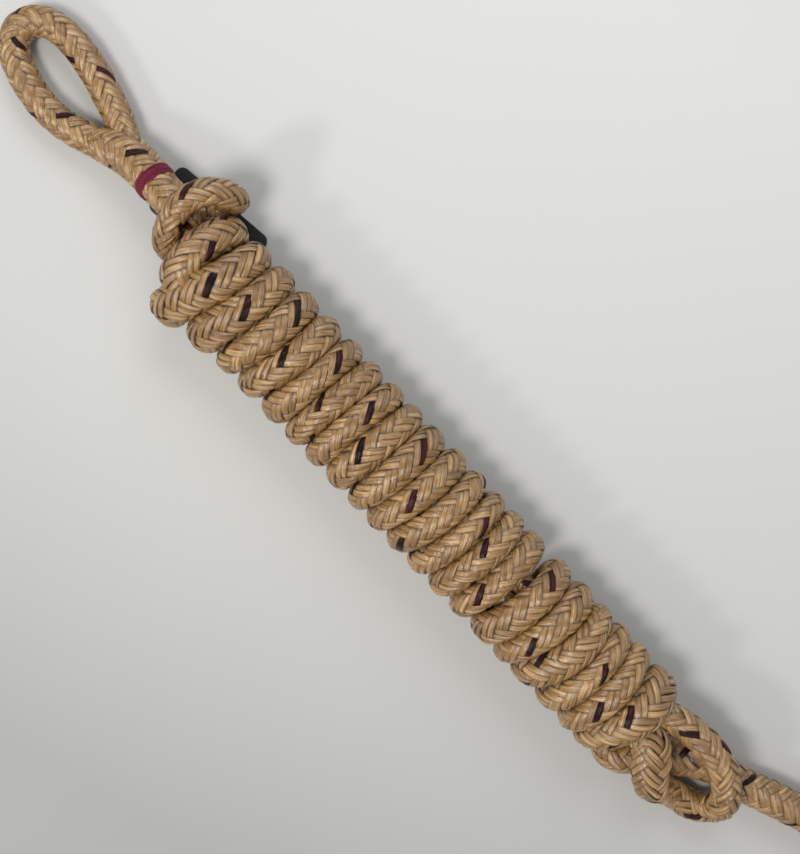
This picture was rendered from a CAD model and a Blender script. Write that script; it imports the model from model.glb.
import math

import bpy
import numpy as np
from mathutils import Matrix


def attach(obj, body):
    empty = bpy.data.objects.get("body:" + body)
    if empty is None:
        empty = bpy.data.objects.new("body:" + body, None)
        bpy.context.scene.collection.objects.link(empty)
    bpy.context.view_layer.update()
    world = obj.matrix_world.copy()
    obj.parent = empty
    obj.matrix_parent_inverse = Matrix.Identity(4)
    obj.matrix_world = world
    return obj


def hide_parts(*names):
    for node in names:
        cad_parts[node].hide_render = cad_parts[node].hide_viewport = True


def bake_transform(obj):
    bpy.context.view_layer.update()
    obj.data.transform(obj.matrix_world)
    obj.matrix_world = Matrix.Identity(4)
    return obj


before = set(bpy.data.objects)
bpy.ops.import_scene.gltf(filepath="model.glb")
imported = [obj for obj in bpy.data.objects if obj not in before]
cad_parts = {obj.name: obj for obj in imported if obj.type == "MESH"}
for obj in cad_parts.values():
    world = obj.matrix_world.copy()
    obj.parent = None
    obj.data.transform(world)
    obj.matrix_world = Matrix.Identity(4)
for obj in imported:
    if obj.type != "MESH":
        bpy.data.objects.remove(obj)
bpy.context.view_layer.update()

# A braided rope with a spliced eye at each end, doubled and bound up into a wrapped hank.
# The whole rope is one smooth centreline in metres. Its twelve strands, of two yarns each,
# are worked out along that line, and each stretch of them becomes one piece.

UP = np.array([0.0, 0.0, 1.0])


def unit(v):
    return v / np.linalg.norm(v, axis=-1, keepdims=True)


def new_object(name, data):
    obj = bpy.data.objects.new(name, data)
    bpy.context.scene.collection.objects.link(obj)
    return obj


def place_by_axes(obj, right, up, back, at):
    """Places a camera or a light, which looks away from back. Blender takes the columns."""
    obj.matrix_world = [
        [*column, last] for column, last in ((right, 0), (up, 0), (back, 0), (at, 1))]


# ---- camera ----

HANK_ANGLE = math.radians(46.6)      # the hank's axis runs this far below the picture's level
CAMERA_HEIGHT = 0.600
CAMERA_TILT = math.radians(4.5)      # off straight down
CAMERA_AIM = np.array([-0.05885, -0.01466, 0.0])
SENSOR = 36.0
LENS = 52.54

picture_right = np.array([math.cos(HANK_ANGLE), math.sin(HANK_ANGLE), 0.0])
picture_up = np.array([-math.sin(HANK_ANGLE), math.cos(HANK_ANGLE), 0.0])


def add_camera():
    data = bpy.data.cameras.new("camera")
    data.sensor_fit = "HORIZONTAL"
    data.sensor_width = SENSOR
    data.lens = LENS
    camera = new_object("camera", data)
    sight = -math.sin(CAMERA_TILT) * picture_up - math.cos(CAMERA_TILT) * UP
    upward = math.cos(CAMERA_TILT) * picture_up - math.sin(CAMERA_TILT) * UP
    at = CAMERA_AIM - sight * CAMERA_HEIGHT / math.cos(CAMERA_TILT)
    place_by_axes(camera, picture_right, upward, -sight, at)
    bpy.context.scene.camera = camera


add_camera()

# ---- routes ----
# Nearly the same stretches of rope as part.scad has, in the hank's own place. The first and
# last points of NECK, HEAD_TURN and LOCK_LOOP, and the first point of TAIL, only set which
# way the rope goes there.

HANK_PLACE = np.array([0.0602, 0.029, 0.0])
CORE_Y = 0.0063
CORE_Z = 0.0245
CORE_X0 = -0.138
CORE_X1 = 0.186
THROAT_START = (-0.197, 0.011, 0.0104)

EYE = [
    (-0.206, 0.0186, 0.0086), (-0.213, 0.0208, 0.0082), (-0.220, 0.0230, 0.0080),
    (-0.229, 0.0255, 0.0080), (-0.238, 0.0274, 0.0080), (-0.247, 0.0284, 0.0080),
    (-0.256, 0.0283, 0.0080), (-0.263, 0.0268, 0.0080), (-0.2685, 0.0234, 0.0080),
    (-0.2718, 0.0180, 0.0080), (-0.272, 0.0120, 0.0080), (-0.269, 0.0066, 0.0080),
    (-0.2645, 0.0030, 0.0080), (-0.258, 0.0002, 0.0080), (-0.250, -0.0022, 0.0080),
    (-0.241, -0.0037, 0.0080), (-0.232, -0.0039, 0.0080), (-0.223, -0.0026, 0.0080),
    (-0.214, -0.0001, 0.0082), (-0.206, 0.0028, 0.0086)]
# The tail's way into the throat, and the standing rope's way through it.
TAIL = [(-0.184, 0.0118, 0.0150), (-0.190, 0.0126, 0.0132), (-0.197, 0.0150, 0.0108)]
THROAT = [
    (-0.206, 0.0028, 0.0088), (-0.200, 0.0058, 0.0104), (-0.194, 0.0088, 0.0124),
    (-0.187, 0.0106, 0.0142), (-0.178, 0.0110, 0.0169), (-0.169, 0.0110, 0.0199),
    (-0.160, 0.0110, 0.0230)]
NECK = [
    (-0.169, 0.0110, 0.0199), (-0.160, 0.0110, 0.0230), (-0.153, 0.0110, 0.0248),
    (-0.146, 0.0106, 0.0257), (-0.141, 0.0088, 0.0252), (CORE_X0, CORE_Y, CORE_Z),
    (CORE_X0 + 0.006, CORE_Y, CORE_Z)]
HEAD_TURN = [
    (CORE_X0 + 0.006, -CORE_Y, CORE_Z), (CORE_X0, -CORE_Y, CORE_Z),
    (-0.1425, -0.0060, 0.0275), (-0.1448, -0.0030, 0.0322), (-0.1469, 0.0028, 0.0368),
    (-0.1488, 0.0088, 0.0396), (-0.1488, 0.0158, 0.0410), (-0.147, 0.0228, 0.0412),
    (-0.1434, 0.0288, 0.0398), (-0.1386, 0.0326, 0.0356), (-0.1354, 0.0338, 0.0295),
    (-0.1356, 0.0334, 0.0225), (-0.1392, 0.0310, 0.0150), (-0.143, 0.0245, 0.0112),
    (-0.1436, 0.0160, 0.0108), (-0.1445, 0.0050, 0.0108), (-0.1400, -0.0030, 0.0110),
    (-0.1360, -0.0070, 0.0115)]
LOCK_LOOP = [
    (CORE_X1 - 0.006, CORE_Y, CORE_Z), (CORE_X1, CORE_Y, CORE_Z), (0.192, 0.0105, 0.0252),
    (0.198, 0.0138, 0.0260), (0.2045, 0.0156, 0.0266), (0.2115, 0.0168, 0.0274),
    (0.219, 0.0178, 0.0283), (0.2265, 0.0176, 0.0289), (0.233, 0.0162, 0.0290),
    (0.239, 0.0136, 0.0286), (0.2445, 0.0108, 0.0275), (0.2495, 0.0070, 0.0256),
    (0.253, 0.0028, 0.0214), (0.2552, -0.0020, 0.0132), (0.2535, -0.0068, 0.0088),
    (0.2485, -0.0108, 0.0081), (0.2415, -0.0124, 0.0082), (0.2345, -0.0140, 0.0100),
    (0.2275, -0.0164, 0.0150), (0.2215, -0.0172, 0.0214), (0.2145, -0.0134, 0.0260),
    (0.209, -0.0088, 0.0281), (0.2045, -0.0045, 0.0290), (0.200, -0.0016, 0.0284),
    (0.1944, -0.0024, 0.0264), (0.190, -0.0047, 0.0250), (CORE_X1, -CORE_Y, CORE_Z),
    (CORE_X1 - 0.006, -CORE_Y, CORE_Z)]
LAST_TURN = [
    (0.1915, 0.0150, 0.0088), (0.1935, 0.0030, 0.0076), (0.191, -0.0080, 0.0078),
    (0.1905, -0.0165, 0.0082), (0.1945, -0.0225, 0.0090), (0.2015, -0.0222, 0.0100),
    (0.209, -0.0150, 0.0098), (0.217, -0.0046, 0.0094), (0.2275, 0.0052, 0.0094),
    (0.2405, 0.0117, 0.0098), (0.256, 0.0155, 0.0104)]

FAR_AT = np.array([0.256, 0.0155, 0.0104])
FAR_TURN = math.radians(20.7)
FAR_NECK_LENGTH = 0.012
FAR_WHIPPING_X = 0.042
FAR_CROTCH_X = 0.071
far_way = np.array([math.cos(FAR_TURN), math.sin(FAR_TURN), 0.0])
far_side = np.array([-math.sin(FAR_TURN), math.cos(FAR_TURN), 0.0])


def far_place(x, y=0.0, z=FAR_AT[2]):
    """A point x along the far splice and y to its left."""
    at = FAR_AT + x * far_way + y * far_side
    return np.array([at[0], at[1], z])


def far_eye(route):
    """The first eye's route, backwards, in the far eye's place."""
    start_x, start_y, _ = THROAT_START
    return [far_place(FAR_CROTCH_X - (x - start_x), y - start_y, min(z, FAR_AT[2]))
            for x, y, z in reversed(route)]


# ---- wraps ----

WRAPS = 21
ON_TAG = 2                    # wraps that lie on the tag and not on the floor
TAG_RAISE = 0.0036
WRAP_REACH = 0.0213           # half the width of a wrap's centreline
HANK_HEIGHT = 0.047
WRAP_OUTER = 0.0079           # half a wrap's thickness, outwards from the core
# Where each wrap meets the one before it, in millimetres along the hank: on the left side,
# on top and on the right side. The last row is where the last wrap ends.
EDGES = [
    (-139.5, -137.5, -134), (-131.5, -121, -117), (-109, -101.5, -100.5), (-89, -84, -84),
    (-74, -68, -67.5), (-57.5, -52, -51.5), (-40, -38.5, -36.5), (-25.5, -24.5, -22),
    (-11, -11, -7), (5, 5.5, 6.5), (18.5, 22, 23), (32.5, 37, 38.5), (48, 52, 52.5),
    (63, 65.5, 66.5), (78.5, 80.5, 80), (93, 96, 97.5), (112.5, 114.5, 114.5),
    (123, 129.5, 131.5), (141.5, 147, 144.5), (159, 159, 158.5), (172, 174, 172),
    (182, 193, 194)]
CORE_SHOWS = {15: (0.5, 3.5, 4.5)}     # the same, for the gap after a wrap
LEFT_BULGE = {1: -0.0100, 2: 0.0058, 3: 0.0020}    # how much further a left side reaches
FIRST_WRAP_TUCK = 0.0120      # how far wrap 1's left side goes along, under wrap 2's bulge
LEAST_WIDTH, MOST_WIDTH = 0.0132, 0.0220


def wrap_sides(k):
    """Wrap k's middle along the hank, and its width, on its left side, top and right side."""
    start = np.array(EDGES[k - 1]) + np.array(CORE_SHOWS.get(k - 1, (0, 0, 0))) / 2
    end = np.array(EDGES[k]) - np.array(CORE_SHOWS.get(k, (0, 0, 0))) / 2
    width = np.clip(0.001 * (end - start) * 1.04, LEAST_WIDTH, MOST_WIDTH)
    middle = 0.0005 * (start + end)
    if k == 1:
        middle[0] += FIRST_WRAP_TUCK
    return middle, width


def between(sides, a, following):
    """A value at angle a of a wrap, from its three sides' and the next wrap's left side's."""
    left, top, right = sides
    s = math.sin(a)
    if a <= math.pi / 2:
        return top + (right - left) / 2 * s + ((right + left) / 2 - top) * s * s
    return right + (following - right) * (1 - s) / 2


def wrap_point(k, degrees):
    """A point on wrap k's centreline: its left side is at -90 degrees, its top at 0, its
    right side at 90 and its underside at 180, and the next wrap's left side is at 270."""
    a = math.radians(degrees)
    raise_by = TAG_RAISE if k <= ON_TAG else 0.0
    rise = (HANK_HEIGHT - raise_by) / 2 - WRAP_OUTER
    following = wrap_sides(min(k + 1, WRAPS))[0][0]
    x = between(wrap_sides(k)[0], a, following)
    bulge = LEFT_BULGE.get(k, 0.0) if degrees <= 90 else LEFT_BULGE.get(k + 1, 0.0)
    reach = WRAP_REACH + (bulge * math.sin(a) ** 4 if math.sin(a) < 0 else 0)
    return (x, reach * math.sin(a), raise_by + WRAP_OUTER + rise + rise * math.cos(a))


def wrap_flatness(k, degrees):
    following = wrap_sides(min(k + 1, WRAPS))[1][0]
    return between(wrap_sides(k)[1], math.radians(degrees), following) / (2 * WRAP_OUTER)


# ---- the rope's one centreline ----

SAMPLE = 0.0005               # between the centreline's points
EYE_LAY = 0.050               # length in which a strand goes once round the rope
THROAT_LAY = 0.042
CORE_LAY = 0.056
CORE_OUTER, CORE_FLATNESS = 0.0070, 0.88
WRAP_STEP = 6                 # degrees between the points of a wrap
LAST_WRAP_ENDS = 108          # degrees
HEAD_TO_WRAPS = (-0.1285, -0.0100, 0.0160)    # a point between the head turn and wrap 1
OFF_FLOOR = 0.0001            # the least that the rope clears the floor by
NOT_ZERO = 1e-9
# How far each way the rope's course, thickness and so on are evened out along it
SMOOTH_COURSE, SMOOTH_ACROSS, SMOOTH_RADIUS = 0.003, 0.004, 0.006
SMOOTH_LAY, SMOOTH_FLATNESS, SMOOTH_CROWDED = 0.008, 0.008, 0.010
SMOOTH_TURN = 0.006

stretches = []                # (name, points, outer radii, lays, flatness, across)


def spline(points, per_span=14):
    """A smooth curve through every point but the first and last, which only aim it."""
    p = np.array(points, float)
    t = np.linspace(0, 1, per_span, endpoint=False)[:, None]
    spans = []
    for a, b, c, d in zip(p, p[1:], p[2:], p[3:]):
        ab, bc, cd = (math.sqrt(np.linalg.norm(v)) for v in (b - a, c - b, d - c))
        start = ((b - a) / ab - (c - a) / (ab + bc) + (c - b) / bc) * bc
        end = ((c - b) / bc - (d - b) / (bc + cd) + (d - c) / cd) * bc
        spans.append(b * (2 * t**3 - 3 * t**2 + 1) + start * (t**3 - 2 * t**2 + t)
                     + c * (3 * t**2 - 2 * t**3) + end * (t**3 - t**2))
    spans.append(p[-2:-1])
    return np.vstack(spans)


def stretch(name, points, radii, lays=(EYE_LAY,), flatness=(1.0,), across=(0, 1, 0)):
    """Adds one stretch of rope. The values are spread evenly along it. flatness is the rope's
    thickness in the direction across, as a part of its thickness the other way."""
    points = np.array(points, float)
    along = np.linspace(0, 1, len(points))
    stretches.append((
        name, points,
        np.interp(along, np.linspace(0, 1, len(radii)), radii),
        np.interp(along, np.linspace(0, 1, len(lays)), lays),
        np.interp(along, np.linspace(0, 1, len(flatness)), flatness),
        np.tile(np.array(across, float), (len(points), 1))))


stretch("eye", spline(TAIL + EYE + [THROAT[1]]),
        (0.0062, 0.0076, *[0.0079] * 11, 0.0081))
stretch("throat", spline([EYE[-2], *THROAT, NECK[2]]),
        (0.0081, 0.0095, 0.0106, 0.0107, 0.0104, 0.0097, 0.0099),
        (EYE_LAY, THROAT_LAY, THROAT_LAY, THROAT_LAY))
stretch("neck", spline(NECK), (0.0099, 0.0094, 0.0080, 0.0066, 0.0062), (THROAT_LAY, CORE_LAY))
stretch("core_out", [(CORE_X0, CORE_Y, CORE_Z), (CORE_X1, CORE_Y, CORE_Z)],
        (CORE_OUTER,), (CORE_LAY,), (CORE_FLATNESS,))
stretch("lock_loop", spline(LOCK_LOOP),
        (0.0066, 0.0076, *[0.0080] * 10, 0.0072, 0.0066),
        (CORE_LAY, EYE_LAY, EYE_LAY, CORE_LAY),
        (*[1.0] * 8, 1.2, 1.4, 1.35, 1.0), tuple(picture_right))
stretch("core_back", [(CORE_X1, -CORE_Y, CORE_Z), (CORE_X0, -CORE_Y, CORE_Z)],
        (CORE_OUTER,), (CORE_LAY,), (CORE_FLATNESS,))
head_turn = spline(HEAD_TURN)
stretch("head_turn", head_turn, (0.0064, 0.0068, *[0.0070] * 6, *[0.0074] * 2),
        (CORE_LAY, EYE_LAY, EYE_LAY))
for k in range(1, WRAPS + 1):
    last = LAST_WRAP_ENDS if k == WRAPS else 270
    places = range(-90, last + 1, WRAP_STEP)
    turn = [wrap_point(k, degrees) for degrees in places]
    if k == 1:
        joint = [head_turn[-8], head_turn[-1], HEAD_TO_WRAPS, turn[1], turn[2]]
        turn = [*spline(joint), *turn[1:]]
    flatness = [wrap_flatness(k, degrees) for degrees in places]
    stretch(f"wrap_{k:02d}", turn, (WRAP_OUTER,), (EYE_LAY,), flatness, (1, 0, 0))
stretch("last_turn", spline([turn[-4], turn[-1], *LAST_TURN, far_place(FAR_NECK_LENGTH)]),
        (WRAP_OUTER, *[0.0076] * 4, 0.0084, 0.0088, 0.0088), (EYE_LAY, EYE_LAY, THROAT_LAY),
        (*[1.0] * 7, 1.15, 1.3, 1.3, 1.15, 1.0), tuple(picture_up))
far_legs = far_eye(TAIL + EYE)
far_throat = [far_place(x) for x in (0.0, 0.012, 0.024, 0.036, 0.048, 0.060)]
far_crotch = [far_place(FAR_CROTCH_X - 0.003, -0.0012), far_place(FAR_CROTCH_X + 0.003, -0.0046)]
stretch("far_throat", spline([LAST_TURN[-2], *far_throat, *far_crotch, *far_legs[:2]]),
        (0.0088, 0.0093, 0.0093, 0.0093, 0.0094, 0.0101, 0.0098, 0.0083),
        (THROAT_LAY, THROAT_LAY, THROAT_LAY, EYE_LAY))
stretch("far_eye", spline([far_crotch[-1], *far_legs, 2 * far_legs[-1] - far_legs[-2]]),
        (0.0083, *[0.0079] * 11, 0.0076, 0.0062))


def smoothed(values, reach):
    """A moving average over reach metres each way."""
    n = max(1, round(reach / SAMPLE))
    weights = np.hanning(2 * n + 3)[1:-1]
    weights /= weights.sum()
    padded = np.pad(values, [(n, n)] + [(0, 0)] * (values.ndim - 1), mode="edge")
    if values.ndim == 1:
        return np.convolve(padded, weights, mode="valid")
    return np.column_stack([np.convolve(c, weights, mode="valid") for c in padded.T])


points = np.vstack([p for _, p, *_ in stretches]) - HANK_PLACE
steps = np.linalg.norm(np.diff(points, axis=0), axis=1)
lengths = np.concatenate([[0], np.cumsum(steps)])
total = lengths[-1]
distance = np.arange(0, total, SAMPLE)


def sampled(values):
    if values.ndim == 1:
        return np.interp(distance, lengths, values)
    return np.column_stack([np.interp(distance, lengths, c) for c in values.T])


spans = {}                    # name -> (start, end) along the rope
first = 0
for name, p, *_ in stretches:
    spans[name] = (lengths[first], lengths[first + len(p) - 1])
    first += len(p)
names = list(spans)
for name, following in zip(names, names[1:]):
    spans[name] = (spans[name][0], spans[following][0])

centre = smoothed(sampled(points), SMOOTH_COURSE)
outer = smoothed(sampled(np.concatenate([v[2] for v in stretches])), SMOOTH_RADIUS)
lay = smoothed(sampled(np.concatenate([v[3] for v in stretches])), SMOOTH_LAY)
flatness = smoothed(sampled(np.concatenate([v[4] for v in stretches])), SMOOTH_FLATNESS)
across = smoothed(sampled(np.vstack([v[5] for v in stretches])), SMOOTH_ACROSS)
across = unit(across + NOT_ZERO)
crowded = smoothed(sampled(np.concatenate([
    np.full(len(v[1]), float(v[0].startswith("wrap_"))) for v in stretches])), SMOOTH_CROWDED)
centre[:, 2] = np.maximum(centre[:, 2], outer + OFF_FLOOR)


def steady_frames(line):
    """Side directions that don't turn about the line as they follow it."""
    forward = unit(np.gradient(line, axis=0))
    sides = np.empty_like(line)
    side = unit(UP - forward[0] * forward[0].dot(UP))
    for i, way in enumerate(forward):
        side = side - way * side.dot(way)
        side /= math.sqrt(side.dot(side))
        sides[i] = side
    return forward, sides, np.cross(forward, sides)


forward, side_n, side_b = steady_frames(centre)
across = unit(across - forward * np.sum(across * forward, axis=1, keepdims=True) + NOT_ZERO)

# ---- braid ----

STRANDS = 6                   # each way round
FLOATS = 3                    # times that a strand comes up in one turn
FLOAT_START = math.pi / 4     # so that each time up or down passes two other strands
FLOAT_FLATNESS = 1.35         # how long a strand stays up or down
YARN_APART = math.radians(14.5)    # each yarn of a strand, from the strand's middle
YARN_THICK = 0.00170
YARN_RISE = 0.00088           # of a strand that passes over, and the fall of one under
YARN_FILL = 0.61              # half a yarn's width, as a part of the room that it has
NARROW_YARN, WIDE_YARN = 0.00115, 0.00205    # the least and most that half a width may be
YARN_FLAT_POWER, YARN_THICK_POWER = 0.8, 0.65    # they square off a yarn's section
SIDES = 8
RING_STEP, CORE_RING_STEP = 0.0013, 0.0024    # between a yarn's rings
LEAST_RINGS = 8
WANDER_TURN = math.radians(2.2)    # a yarn's small wanderings, round the rope
WANDER_RISE = 0.00020         # and out from it
NOOK_FROM, NOOK_SPAN = 0.78, 0.22    # how far sideways a yarn faces in a nook
NOOK_SINK = 0.9

# Points on the rope's surface where the dark yarn shows. The braid is turned to meet them.
TRACER_AT = {
    "eye": [(-0.2439, 0.0225, 0.010), (-0.2649, 0.0088, 0.014), (-0.2248, 0.0018, 0.014)],
    "throat": [(-0.1856, 0.0146, 0.024)],
    "head_turn": [(-0.1436, 0.0045, 0.037), (-0.1314, 0.0317, 0.018)],
    "lock_loop": [
        (0.2094, 0.0158, 0.034), (0.2518, -0.0116, 0.012), (0.2128, -0.0207, 0.020)],
    "last_turn": [(0.2221, 0.0096, 0.018)],
    "far_throat": [(0.2549, 0.0259, 0.018)],
}
# The same on the wraps: degrees round the wrap, and millimetres off its middle.
WRAP_TRACER_AT = {
    1: (20, 6), 2: (-6, 0), 3: (7, 0.5), 4: (43, 1), 5: (-1, -4.5), 6: (38, 0), 7: (-5, -6),
    8: (24, 0.5), 9: (-10, -3.5), 10: (39, 0.5), 11: (-8, -0.5), 13: (28, 4), 14: (15, -5),
    15: (-25, -2.5), 16: (46, -3.5), 17: (-25, 0.5), 18: (65, 7), 19: (12, 2), 20: (-20, 0),
    21: (0, -4.5)}


def tracer_points():
    """(place along the rope, point on its surface) of each wanted tracer, in order."""
    found = []
    for name, wanted in TRACER_AT.items():
        start, end = (round(s / SAMPLE) for s in spans[name])
        for p in wanted:
            p = np.array(p) - HANK_PLACE
            i = start + int(np.argmin(np.linalg.norm(centre[start:end] - p, axis=1)))
            found.append((i, p))
    for k, (degrees, shift) in WRAP_TRACER_AT.items():
        start, end = (round(s / SAMPLE) for s in spans[f"wrap_{k:02d}"])
        p = np.array(wrap_point(k, degrees)) - HANK_PLACE
        i = start + int(np.argmin(np.linalg.norm(centre[start:end] - p, axis=1)))
        shift = np.array([0.001 * shift, 0, 0])
        out = unit(UP - forward[i] * forward[i][2])
        found.append((i, centre[i] + math.sqrt(outer[i] ** 2 - shift[0] ** 2) * out + shift))
    return sorted(found, key=lambda f: f[0])


def braid_phases():
    """How far round the strands have gone, and how far the whole rope is turned, at each
    sample, so that the dark yarn comes to the top at each wanted point."""
    phase = np.cumsum(2 * math.pi * SAMPLE / lay)
    period = 2 * math.pi / FLOATS
    marks, shifts, turns = [], [], []
    for i, p in tracer_points():
        radial = p - centre[i]
        toward = math.atan2(radial.dot(side_b[i]), radial.dot(side_n[i]))
        last_shift = shifts[-1] if shifts else 0.0
        error = FLOAT_START + YARN_APART / 2 - phase[i] - last_shift
        shift = last_shift + (error + period / 2) % period - period / 2
        wanted = toward + phase[i] + shift - YARN_APART
        last_turn = turns[-1] if turns else wanted
        turn = last_turn + (wanted - last_turn + math.pi) % (2 * math.pi) - math.pi
        marks.append(i)
        shifts.append(shift)
        turns.append(turn)
    each = np.arange(len(centre))
    return (phase + smoothed(np.interp(each, marks, shifts), SMOOTH_TURN),
            smoothed(np.interp(each, marks, turns), SMOOTH_TURN))


phase, rope_turn = braid_phases()
chance = np.random.default_rng(7)
YARNS = [(way, strand, yarn)
         for way in (1, -1) for strand in range(STRANDS) for yarn in (-1, 1)]
TRACER = (-1, 0, 1)                 # the dark yarn
WAVES = (0.031, 0.019, 0.0117)      # lengths of the yarns' small wanderings
wander_starts = chance.uniform(0, 2 * math.pi, (len(YARNS), 2, len(WAVES)))
yarn_tones = chance.uniform(0, 1, len(YARNS))


def at(s, values):
    """Values along the rope at the distances s."""
    if values.ndim == 1:
        return np.interp(s, distance, values)
    return np.column_stack([np.interp(s, distance, c) for c in values.T])


def wander(s, starts):
    return sum(np.sin(2 * math.pi * s / wave + start)
               for wave, start in zip(WAVES, starts)) / len(WAVES)


def yarn_sections(s, index):
    """The rings of one yarn at the distances s, and how high it rides in the braid."""
    way, strand, yarn = YARNS[index]
    gap = s[1] - s[0]
    s = np.concatenate([[s[0] - gap], s, [s[-1] + gap]])
    radius = at(s, outer) - YARN_RISE - YARN_THICK / 2
    strand_angle = way * at(s, phase) + 2 * math.pi * strand / STRANDS
    wave = np.cos(FLOATS * (strand_angle + yarn * YARN_APART / 2) - FLOAT_START)
    lift = way * np.tanh(FLOAT_FLATNESS * wave) / math.tanh(FLOAT_FLATNESS)
    angle = strand_angle + yarn * YARN_APART + at(s, rope_turn)
    angle += WANDER_TURN * wander(s, wander_starts[index, 0])
    height = radius + YARN_RISE * lift + WANDER_RISE * wander(s, wander_starts[index, 1])
    out = (np.cos(angle)[:, None] * at(s, side_n) + np.sin(angle)[:, None] * at(s, side_b))
    squash = at(s, across)
    offset = out * height[:, None]
    offset -= squash * ((1 - at(s, flatness)) * np.sum(offset * squash, axis=1))[:, None]
    line = at(s, centre) + offset
    way_on = unit(line[2:] - line[:-2])
    out = out[1:-1]
    out = unit(out - way_on * np.sum(out * way_on, axis=1, keepdims=True))
    beside = np.cross(way_on, out)
    steep = np.arctan(2 * math.pi * radius / at(s, lay))[1:-1]
    room = 2 * math.pi * (radius[1:-1] + YARN_RISE) * np.cos(steep) / (2 * STRANDS)
    half_wide = np.clip(room * YARN_FILL, NARROW_YARN, WIDE_YARN)
    corner = 2 * math.pi * (np.arange(SIDES) + 0.5) / SIDES
    flat, thick = np.cos(corner), np.sin(corner)
    flat = np.sign(flat) * np.abs(flat) ** YARN_FLAT_POWER
    thick = np.sign(thick) * np.abs(thick) ** YARN_THICK_POWER
    rings = (line[1:-1, None, :]
             + half_wide[:, None, None] * flat[None, :, None] * beside[:, None, :]
             + YARN_THICK / 2 * thick[None, :, None] * out[:, None, :])
    # A yarn looks sunk where it goes down between two wraps.
    sideways = np.abs(np.sum(out * squash[1:-1], axis=1))
    nook = np.clip((sideways - NOOK_FROM) / NOOK_SPAN, 0, 1) * at(s, crowded)[1:-1]
    return rings, lift[1:-1] - NOOK_SINK * nook


INSIDE_PART = 0.60            # radius of the braid's dark inside, as a part of the rope's
TAN, INSIDE, MAROON = range(3)    # the order of a rope piece's materials


def inside_sections(s):
    corner = 2 * math.pi * np.arange(SIDES) / SIDES
    radius = at(s, outer) * INSIDE_PART
    offset = radius[:, None, None] * (
        np.cos(corner)[None, :, None] * at(s, side_n)[:, None, :]
        + np.sin(corner)[None, :, None] * at(s, side_b)[:, None, :])
    return at(s, centre)[:, None, :] + offset


def braid_piece(name, start, end, step):
    """One mesh of all the yarns between two places along the rope, round a plain inside."""
    count = max(LEAST_RINGS, round((end - start) / step))
    s = np.linspace(start, end, count + 1)
    tubes = [(*yarn_sections(s, i), yarn_tones[i], MAROON if YARNS[i] == TRACER else TAN)
             for i in range(len(YARNS))]
    tubes.append((inside_sections(s), np.full(len(s), -1.0), 0.5, INSIDE))
    return tube_mesh(name, tubes, s)


YARN_GIRTH = 0.0075
STRIP_NARROWING = 1.25        # how much narrower than true a yarn's strips are
STRIP_MARGIN, STRIP_END_MARGIN = 0.04, 0.01    # parts of a strip's width and length


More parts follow.
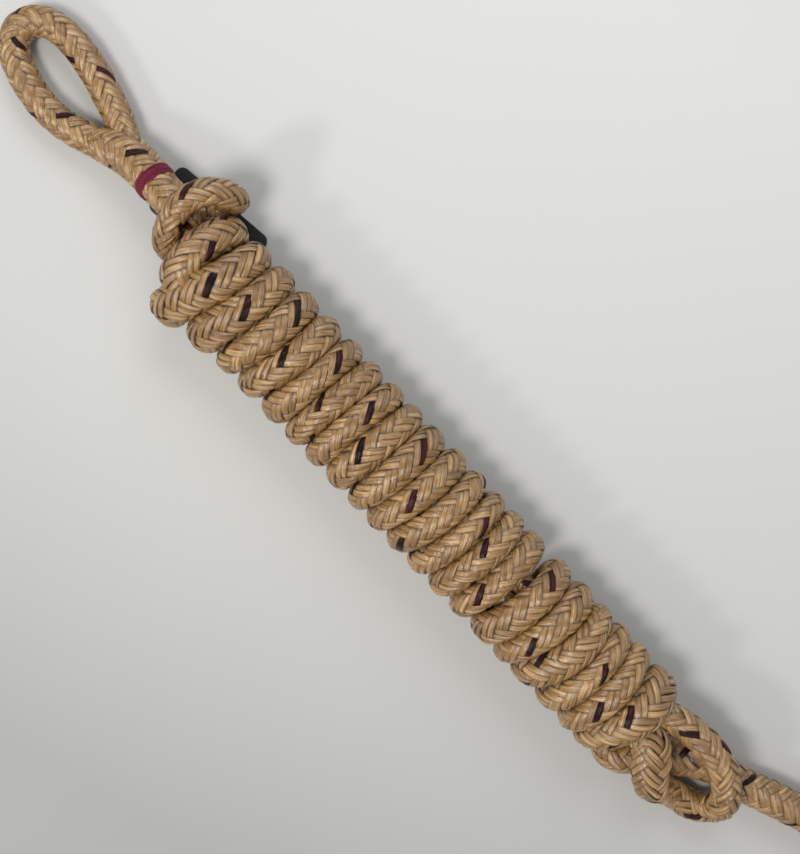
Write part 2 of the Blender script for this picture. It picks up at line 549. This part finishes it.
def tube_mesh(name, tubes, s):
    """A mesh of closed tubes of equal ring counts. tubes holds (rings, lift, tone, material).
    Its bake layer gives each tube its own strips, and its Yarn layer runs along each tube."""
    rings, sides = tubes[0][0].shape[:2]
    fit = (s[-1] - s[0]) * STRIP_NARROWING / (len(tubes) * YARN_GIRTH)
    pieces_each = max(1, round(math.sqrt(fit)))
    strips = len(tubes) * pieces_each
    i = np.arange(rings - 1)[:, None]
    k = np.arange(sides)[None, :]
    after = (k + 1) % sides
    quad = np.stack(np.broadcast_arrays(
        i * sides + k, i * sides + after, (i + 1) * sides + after, (i + 1) * sides + k), -1)
    quad = quad.reshape(-1, 4)
    # Place in the strip of each quad's corners
    part = np.minimum(i * pieces_each // (rings - 1), pieces_each - 1)
    part_start = np.ceil(part * (rings - 1) / pieces_each)
    part_long = np.ceil((part + 1) * (rings - 1) / pieces_each) - part_start
    low = (i - part_start) / part_long
    high = (i + 1 - part_start) / part_long
    left, right = k / sides, (k + 1) / sides
    near, far = s[:-1, None], s[1:, None]
    corners = np.broadcast_arrays(left, right, low, high, near, far, part)
    left, right, low, high, near, far, part = corners
    u = np.stack([left, right, right, left], -1)
    v = np.stack([low, low, high, high], -1)
    along = np.stack([near, near, far, far], -1)
    strip_of = np.repeat(part[..., None], 4, axis=-1)
    vertices, loops, sizes, materials = [], [], [], []
    bake, yarn, tones, lifts = [], [], [], []
    caps = [np.arange(sides)[::-1], (rings - 1) * sides + np.arange(sides)]
    for t, (shape, lift, tone, material) in enumerate(tubes):
        vertices.append(shape.reshape(-1, 3))
        base = t * rings * sides
        loops += [(quad + base).reshape(-1), *(c + base for c in caps)]
        sizes += [np.full(len(quad), 4), [sides, sides]]
        materials.append(np.full(len(quad) + 2, material))
        strip_u = t * pieces_each + strip_of + STRIP_MARGIN + (1 - 2 * STRIP_MARGIN) * u
        strip_v = STRIP_END_MARGIN + (1 - 2 * STRIP_END_MARGIN) * v
        bake += [np.stack([strip_u / strips, strip_v], -1).reshape(-1, 2),
                 np.tile([[(t * pieces_each + 0.5) / strips, 0.02]], (2 * sides, 1))]
        yarn += [np.stack([u, along * 100], -1).reshape(-1, 2),
                 np.tile([[0.5, s[0] * 100]], (2 * sides, 1))]
        tones.append(np.full(rings * sides, tone))
        lifts.append(np.repeat(lift, sides))
    vertices, loops = np.vstack(vertices), np.concatenate(loops)
    sizes, materials = np.concatenate(sizes), np.concatenate(materials)
    mesh = bpy.data.meshes.new(name)
    mesh.vertices.add(len(vertices))
    mesh.vertices.foreach_set("co", vertices.astype(np.float32).ravel())
    mesh.loops.add(len(loops))
    mesh.loops.foreach_set("vertex_index", loops.astype(np.int32))
    mesh.polygons.add(len(sizes))
    starts = np.concatenate([[0], np.cumsum(sizes)[:-1]])
    mesh.polygons.foreach_set("loop_start", starts.astype(np.int32))
    mesh.polygons.foreach_set("material_index", materials.astype(np.int32))
    mesh.update(calc_edges=True)
    mesh.shade_smooth()
    for layer, values in (("OFBake", bake), ("Yarn", yarn)):
        mesh.uv_layers.new(name=layer).data.foreach_set(
            "uv", np.vstack(values).astype(np.float32).ravel())
    for layer, values in (("tone", tones), ("lift", lifts)):
        mesh.attributes.new(layer, "FLOAT", "POINT").data.foreach_set(
            "value", np.concatenate(values).astype(np.float32))
    return new_object(name, mesh)


# ---- materials ----


class Paint:
    """A procedural material on one Principled shader."""

    def __init__(self, name, **settings):
        self.material = bpy.data.materials.new(name)
        self.material.use_nodes = True
        self.tree = self.material.node_tree
        self.shader = self.tree.nodes["Principled BSDF"]
        for key, value in settings.items():
            self.shader.inputs[key.replace("_", " ")].default_value = value

    def node(self, kind, inputs=(), **settings):
        node = self.tree.nodes.new(kind)
        for key, value in settings.items():
            setattr(node, key, value)
        for key, value in dict(inputs).items():
            self.feed(value, node.inputs[key])
        return node

    def feed(self, value, socket):
        if isinstance(value, bpy.types.NodeSocket):
            self.tree.links.new(value, socket)
        else:
            socket.default_value = value

    def set(self, name, value):
        self.feed(value, self.shader.inputs[name])

    def math(self, operation, *values):
        inputs = dict(enumerate(values))
        return self.node("ShaderNodeMath", inputs, operation=operation).outputs[0]

    def weighted(self, *terms):
        """The sum of some values, each times its weight."""
        parts = [self.math("MULTIPLY", value, weight) for value, weight in terms]
        total = parts[0]
        for part in parts[1:]:
            total = self.math("ADD", total, part)
        return total

    def noise(self, vector, scale=1.0, detail=2.0, roughness=0.5):
        return self.node("ShaderNodeTexNoise", {
            "Vector": vector, "Scale": scale, "Detail": detail, "Roughness": roughness,
        }).outputs["Fac"]

    def ramp(self, value, stops):
        node = self.node("ShaderNodeValToRGB", {"Fac": value})
        elements = node.color_ramp.elements
        while len(elements) < len(stops):
            elements.new(0.5)
        for element, (place, colour) in zip(elements, stops):
            element.position = place
            element.color = (*colour, 1)
        return node.outputs["Color"]

    def mix(self, amount, a, b):
        node = self.node("ShaderNodeMix", data_type="RGBA")
        self.feed(amount, node.inputs[0])
        self.feed(a, node.inputs[6])
        self.feed(b, node.inputs[7])
        return node.outputs[2]

    def bump(self, height, strength, distance):
        node = self.node("ShaderNodeBump", {
            "Height": height, "Strength": strength, "Distance": distance})
        self.set("Normal", node.outputs["Normal"])


def yarn_space(paint, around, along, tone=23.0):
    """A texture vector that runs along each yarn and differs from yarn to yarn."""
    uv = paint.node("ShaderNodeUVMap", uv_map="Yarn").outputs["UV"]
    split = paint.node("ShaderNodeSeparateXYZ", {0: uv})
    own = paint.node("ShaderNodeAttribute", attribute_name="tone").outputs["Fac"]
    return paint.node("ShaderNodeCombineXYZ", {
        0: paint.math("MULTIPLY", split.outputs[0], around),
        1: paint.math("MULTIPLY", split.outputs[1], along),
        2: paint.math("MULTIPLY", own, tone)}).outputs[0]


# Where a yarn's darkness starts to fade and where it is gone, and how dark it is before
# that: up the yarn's sides, and up through the braid
FLANK_FROM, FLANK_TO, FLANK_DARK = -0.10, 0.60, 0.88
SUNK_FROM, SUNK_TO, SUNK_DARK = -0.9, 0.50, 0.90
YARN_ROUGHNESS, STREAK_ROUGHNESS = 0.13, 0.26


def yarn_paint(name, dark, middle, pale, deep, **settings):
    """Yarn of fine glossy filaments, darker down in the braid and where yarns meet."""
    paint = Paint(name, **settings)
    filaments = paint.noise(yarn_space(paint, 30.0, 1.4), detail=3.0, roughness=0.6)
    streaks = paint.noise(yarn_space(paint, 7.0, 1.0, 31.0), detail=2.0)
    patches = paint.noise(yarn_space(paint, 1.0, 0.35, 11.0), detail=1.0)
    own = paint.node("ShaderNodeAttribute", attribute_name="tone").outputs["Fac"]
    lift = paint.node("ShaderNodeAttribute", attribute_name="lift").outputs["Fac"]
    value = paint.weighted((filaments, 0.40), (streaks, 0.40), (patches, 0.14), (own, 0.06))
    colour = paint.ramp(value, [(0.36, dark), (0.50, middle), (0.64, pale)])
    uv = paint.node("ShaderNodeUVMap", uv_map="Yarn").outputs["UV"]
    around = paint.node("ShaderNodeSeparateXYZ", {0: uv}).outputs[0]
    up_side = paint.math("SINE", paint.math("MULTIPLY", around, 2 * math.pi))
    flank = paint.node("ShaderNodeMapRange", {
        "Value": up_side, "From Min": FLANK_FROM, "From Max": FLANK_TO,
        "To Min": FLANK_DARK, "To Max": 0.0,
    }).outputs[0]
    sunk = paint.node("ShaderNodeMapRange", {
        "Value": lift, "From Min": SUNK_FROM, "From Max": SUNK_TO,
        "To Min": SUNK_DARK, "To Max": 0.0,
    }).outputs[0]
    colour = paint.mix(paint.math("MAXIMUM", flank, sunk), colour, (*deep, 1))
    paint.set("Base Color", colour)
    paint.set("Roughness", paint.math(
        "ADD", YARN_ROUGHNESS, paint.math("MULTIPLY", streaks, STREAK_ROUGHNESS)))
    # The filaments run along the yarn, so its gloss spreads across it.
    paint.set("Tangent", paint.node("ShaderNodeTangent", direction_type="UV_MAP",
                                    uv_map="Yarn").outputs["Tangent"])
    paint.bump(paint.weighted((filaments, 0.6), (streaks, 0.7)), 1.0, 0.0008)
    return paint.material


tan_yarn = yarn_paint(
    "tan_yarn", (0.160, 0.079, 0.023), (0.300, 0.156, 0.048), (0.620, 0.390, 0.165),
    (0.018, 0.0075, 0.003), IOR=1.54, Specular_IOR_Level=1.0, Anisotropic=0.8)
tracer_yarn = yarn_paint(
    "tracer_yarn", (0.006, 0.0022, 0.0022), (0.014, 0.0035, 0.004), (0.110, 0.012, 0.018),
    (0.004, 0.0015, 0.0015), Specular_IOR_Level=0.2)


def inside_paint():
    paint = Paint("braid_inside", Roughness=0.85)
    spots = paint.noise(yarn_space(paint, 9.0, 6.0), detail=2.0)
    paint.set("Base Color", paint.ramp(spots, [(0.3, (0.012, 0.007, 0.004)),
                                               (0.7, (0.035, 0.020, 0.010))]))
    paint.bump(spots, 0.4, 0.0005)
    return paint.material


braid_inside = inside_paint()


def place_paint(name, scale, dark, pale, roughness, bump=0.3, distance=0.0002):
    """A moulded or matt surface with fine mottling."""
    paint = Paint(name)
    where = paint.node("ShaderNodeTexCoord").outputs["Object"]
    coarse = paint.noise(where, scale, 4.0)
    fine = paint.noise(where, scale * 9, 3.0)
    mixed = paint.weighted((coarse, 0.6), (fine, 0.4))
    paint.set("Base Color", paint.ramp(mixed, [(0.35, dark), (0.65, pale)]))
    paint.set("Roughness", paint.math("ADD", roughness - 0.08,
                                      paint.math("MULTIPLY", coarse, 0.16)))
    paint.bump(fine, bump, distance)
    return paint.material


tag_plastic = place_paint(
    "tag_plastic", 60.0, (0.0035, 0.0045, 0.0040), (0.007, 0.009, 0.008), 0.42)
buried_braid = place_paint(
    "buried_braid", 180.0, (0.20, 0.13, 0.06), (0.42, 0.30, 0.16), 0.6, 0.8, 0.0006)

# ---- the rope's pieces ----

ROPE_D, WRAP_D, CORE_D = 0.016, 0.0152, 0.014


def rope_piece(name, first, last, nodes, step=RING_STEP):
    start, end = spans[first][0], spans[last][1]
    piece = braid_piece(name, start, end, step)
    for material in (tan_yarn, braid_inside, tracer_yarn):
        piece.data.materials.append(material)
    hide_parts(*nodes)
    return piece


rope_eye = rope_piece("rope_eye", "eye", "eye", ["eye_crown", "eye_upper_leg", "eye_lower_leg"])
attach(rope_eye, "eye")
rope_throat = rope_piece("rope_throat", "throat", "neck", ["eye_crotch", "eye_throat", "neck"])
far_eye_rope = rope_piece(
    "rope_far_eye", "far_eye", "far_eye", ["far_crown", "far_upper_leg", "far_lower_leg"])
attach(far_eye_rope, "far_eye")
far_throat_rope = rope_piece(
    "rope_far_throat", "far_throat", "far_throat", ["far_neck", "far_throat", "far_crotch"])

# The places that each neck's bend runs between
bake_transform(rope_throat)
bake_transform(far_throat_rope)

for name, first, nodes, diameter in (
        ("rope_core_out", "core_out", ["core_run_out"], CORE_D),
        ("rope_lock_loop", "lock_loop", ["lock_loop"], WRAP_D),
        ("rope_core_back", "core_back", ["core_run_back"], CORE_D),
        ("rope_head_turn", "head_turn", ["head_turn"], WRAP_D),
        ("rope_last_turn", "last_turn", ["last_turn"], ROPE_D)):
    piece = rope_piece(name, first, first, nodes,
                       CORE_RING_STEP if first.startswith("core") else RING_STEP)
    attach(piece, "hank")

for first, last in ((1, 4), (5, 8), (9, 12), (13, 16), (17, 21)):
    group = [f"wrap_{k:02d}" for k in range(first, last + 1)]
    piece = rope_piece(f"rope_wraps_{first:02d}_{last:02d}", group[0], group[-1], group)
    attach(piece, "hank")

# ---- whippings ----

TWINE_D = 0.00110
TURN_STEP = 0.97              # from one turn to the next, in twine diameters
TWINE_WOBBLE, WOBBLE_RATE = 0.00016, 0.37
WHIPPING_DIP = 0.0004         # how much tighter the outer turns are
WHIPPING_TURNS = 6
PLIES_ROUND, PLIES_PER_CM = 2, 6
EYE_WHIPPING_AT = 0.029024    # from where the throat starts
EYE_WHIPPING_RADIUS, FAR_WHIPPING_RADIUS = 0.0098, 0.0092


def twine_tube(name, mid, axis, radius):
    """A seamless helix of twine about an axis, one turn beside the next."""
    axis = unit(np.array(axis, float))
    n = unit(UP - axis * axis.dot(UP))
    b = np.cross(axis, n)
    per_turn, sides = 40, 8
    a = np.linspace(0, 2 * math.pi * WHIPPING_TURNS, per_turn * WHIPPING_TURNS + 1)
    place = (a / (2 * math.pi) - WHIPPING_TURNS / 2) * TWINE_D * TURN_STEP
    reach = radius + TWINE_WOBBLE * np.sin(a * WOBBLE_RATE)
    reach -= WHIPPING_DIP * (place / place.max()) ** 4
    out = np.cos(a)[:, None] * n + np.sin(a)[:, None] * b
    line = mid + place[:, None] * axis + reach[:, None] * out
    corner = 2 * math.pi * np.arange(sides) / sides
    rings = (line[:, None, :] + TWINE_D / 2 * np.cos(corner)[None, :, None] * out[:, None, :]
             + TWINE_D / 2 * np.sin(corner)[None, :, None] * axis[None, None, :])
    piece = tube_mesh(name, [(rings, np.ones(len(a)), 0.5, 0)], a * radius)
    piece.data.materials.append(crimson_twine)
    return piece


def twine_paint():
    paint = Paint("crimson_twine", Specular_IOR_Level=0.35)
    uv = paint.node("ShaderNodeUVMap", uv_map="Yarn").outputs["UV"]
    split = paint.node("ShaderNodeSeparateXYZ", {0: uv})
    lay_angle = paint.weighted((split.outputs[0], 2 * math.pi * PLIES_ROUND),
                               (split.outputs[1], 2 * math.pi * PLIES_PER_CM))
    plies = paint.math("ABSOLUTE", paint.math("SINE", lay_angle))
    spots = paint.noise(yarn_space(paint, 5.0, 4.0), detail=3.0)
    value = paint.weighted((plies, 0.5), (spots, 0.5))
    paint.set("Base Color", paint.ramp(value, [(0.25, (0.020, 0.0006, 0.003)),
                                               (0.60, (0.125, 0.002, 0.020)),
                                               (0.85, (0.340, 0.018, 0.075))]))
    paint.set("Roughness", paint.math("ADD", 0.25, paint.math("MULTIPLY", spots, 0.2)))
    paint.bump(plies, 0.6, 0.0002)
    return paint.material


crimson_twine = twine_paint()
throat_way = unit(np.array(THROAT[-1]) - THROAT_START)
eye_mid = np.array(THROAT_START) + throat_way * EYE_WHIPPING_AT
eye_whipping = twine_tube(
    "whipping_twine", eye_mid - HANK_PLACE, throat_way, EYE_WHIPPING_RADIUS)
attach(eye_whipping, "eye")
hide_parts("eye_whipping")
far_whipping = twine_tube(
    "far_whipping_twine", far_place(FAR_WHIPPING_X) - HANK_PLACE, far_way,
    FAR_WHIPPING_RADIUS)
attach(far_whipping, "far_eye")
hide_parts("far_whipping")

# ---- carried-over CAD nodes ----


def finish_node(node, material):
    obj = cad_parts[node]
    obj.data.materials.clear()
    obj.data.materials.append(material)


for node, material in (("tag_plate", tag_plastic), ("eye_buried_tail", buried_braid),
                       ("far_buried_tail", buried_braid)):
    finish_node(node, material)

# ---- stage ----

FLOOR_REACH = 30.0
FLOOR_SHADE = 0.25            # how far each way the floor's shading goes
SHADE_RIGHT, SHADE_UP = 0.55, 0.84    # the way in which the floor grows paler
WARM_WHITE, COOL_WHITE = (1.0, 0.97, 0.92), (0.95, 0.98, 1.0)
WORLD_COLOUR, WORLD_STRENGTH = (0.95, 0.97, 1.0, 1), 0.44


def floor_paint():
    """A plain pale board, a little darker toward the picture's bottom left."""
    paint = Paint("floor_paint", Roughness=0.6)
    where = paint.node("ShaderNodeTexCoord").outputs["Object"]
    toward = SHADE_RIGHT * picture_right + SHADE_UP * picture_up
    place = paint.node("ShaderNodeVectorMath", {0: where, 1: tuple(toward)},
                       operation="DOT_PRODUCT").outputs["Value"]
    place = paint.node("ShaderNodeMapRange", {
        "Value": place, "From Min": -FLOOR_SHADE, "From Max": FLOOR_SHADE}).outputs[0]
    specks = paint.noise(where, 14.0, 4.0)
    place = paint.math("ADD", place, paint.math("MULTIPLY", specks, 0.02))
    paint.set("Base Color", paint.ramp(place, [
        (0.0, (0.33, 0.33, 0.32)), (0.40, (0.52, 0.52, 0.505)), (1.0, (0.65, 0.65, 0.635))]))
    return paint.material


def add_floor():
    mesh = bpy.data.meshes.new("floor")
    corners = [(x * FLOOR_REACH, y * FLOOR_REACH, 0)
               for x, y in ((-1, -1), (1, -1), (1, 1), (-1, 1))]
    mesh.from_pydata(corners, [], [(0, 1, 2, 3)])
    floor = new_object("floor", mesh)
    mesh.materials.append(floor_paint())


def in_view(right, up, height):
    """A place so far to the right and to the top of the picture's middle, off the floor."""
    return CAMERA_AIM + right * picture_right + up * picture_up + height * UP


def add_light(name, at_point, aim, diameter, power, colour):
    data = bpy.data.lights.new(name, "AREA")
    data.shape = "DISK"
    data.size = diameter
    data.energy = power
    data.color = colour
    back = unit(at_point - aim)
    side = unit(np.cross(UP, back))
    place_by_axes(new_object(name, data), side, np.cross(back, side), back, at_point)


def add_world():
    world = bpy.data.worlds.new("studio")
    world.use_nodes = True
    background = world.node_tree.nodes["Background"]
    background.inputs["Color"].default_value = WORLD_COLOUR
    background.inputs["Strength"].default_value = WORLD_STRENGTH
    bpy.context.scene.world = world


add_floor()
add_world()
add_light("key", in_view(-0.3795, -0.1955, 1.0695), CAMERA_AIM, 0.36, 6.7, WARM_WHITE)
add_light("glint", in_view(-1.32, -0.84, 1.24), CAMERA_AIM, 0.30, 9.0, WARM_WHITE)
add_light("fill", in_view(0.30, 1.05, 0.95), in_view(0.10, 0.28, 0), 0.9, 7.5, COOL_WHITE)
bpy.context.scene.view_settings.view_transform = "Standard"
